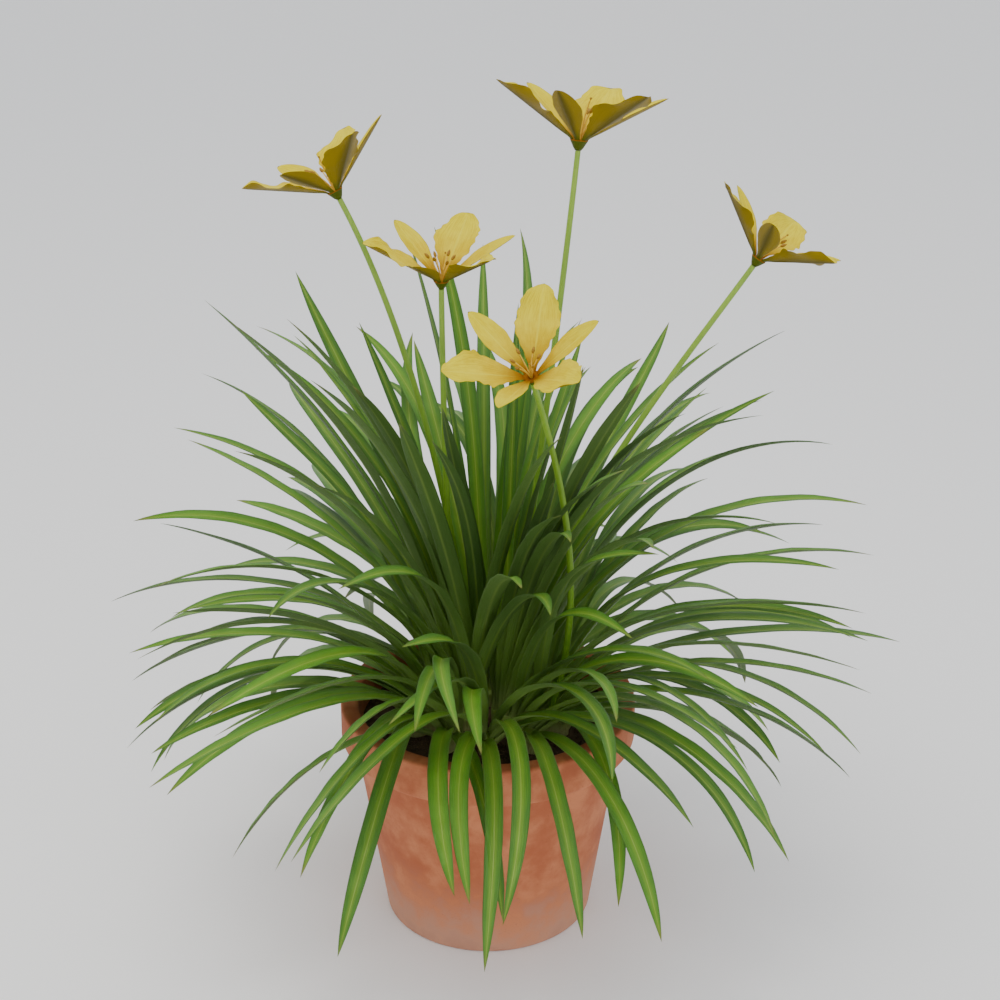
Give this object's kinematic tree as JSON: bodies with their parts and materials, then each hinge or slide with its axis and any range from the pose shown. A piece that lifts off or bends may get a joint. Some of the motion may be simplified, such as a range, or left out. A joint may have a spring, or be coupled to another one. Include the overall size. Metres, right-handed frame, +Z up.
{
  "type": "potted daylily",
  "caption": "Flowering daylily in a plain tapered clay pot: arching strap leaves in fans round the crown, and slender bare stems each ending in an open, star-shaped bloom.",
  "frame": {"origin": "middle of the pot's foot, on the surface that the pot stands on", "axes": "+Z up; -Y towards the viewer's side, where the lowest bloom nods forward; +X to the viewer's right"},
  "size_m": [0.7403, 0.744, 0.7979],
  "materials": {
    "clay": "matte",
    "soil": "matte",
    "leaf": "satin",
    "stem": "satin",
    "petal": "satin",
    "stamen": "matte"
  },
  "bodies": {
    "root": {"inner_fan_01": "leaf", "inner_fan_02": "leaf", "inner_fan_03": "leaf", "inner_fan_04": "leaf", "inner_fan_05": "leaf", "outer_fan_01": "leaf", "outer_fan_02": "leaf", "outer_fan_03": "leaf", "outer_fan_04": "leaf", "outer_fan_05": "leaf", "outer_fan_06": "leaf", "outer_fan_07": "leaf", "outer_fan_08": "leaf", "outer_fan_09": "leaf", "outer_fan_10": "leaf", "outer_fan_11": "leaf", "scape_1": "stem", "bloom_1": "petal", "stamens_1": "stamen", "scape_2": "stem", "bloom_2": "petal", "stamens_2": "stamen", "scape_3": "stem", "bloom_3": "petal", "stamens_3": "stamen", "scape_4": "stem", "bloom_4": "petal", "stamens_4": "stamen", "scape_5": "stem", "bloom_5": "petal", "stamens_5": "stamen", "pot": "clay", "soil": "soil"}
  },
  "joints": []
}
